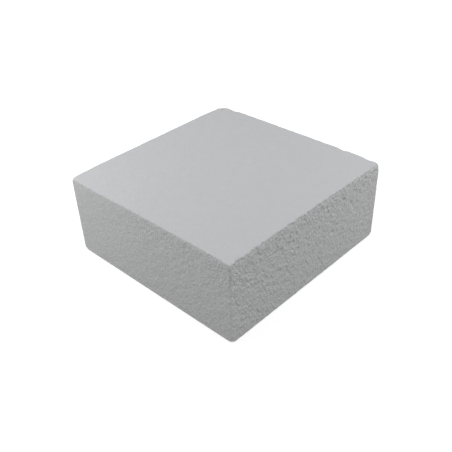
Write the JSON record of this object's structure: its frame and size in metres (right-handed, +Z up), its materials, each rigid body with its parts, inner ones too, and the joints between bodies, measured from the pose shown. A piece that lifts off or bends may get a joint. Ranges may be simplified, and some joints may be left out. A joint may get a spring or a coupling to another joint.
{
  "type": "foam block",
  "caption": "Square block of white bead foam with smooth faces above and below and rough sawn sides, for packing, carving or use as a display base.",
  "frame": {"origin": "middle of the underside, on the surface that the block rests on", "axes": "+Z up, through the block's height; +X and +Y along its sides, with the ragged side facing +X and the front facing -Y"},
  "size_m": [0.254, 0.254, 0.102],
  "materials": {
    "bead_foam": "matte expanded polystyrene foam, smooth skin above and below, beads showing on the sawn sides"
  },
  "bodies": {
    "root": {"foam_block": "bead_foam"}
  },
  "joints": []
}
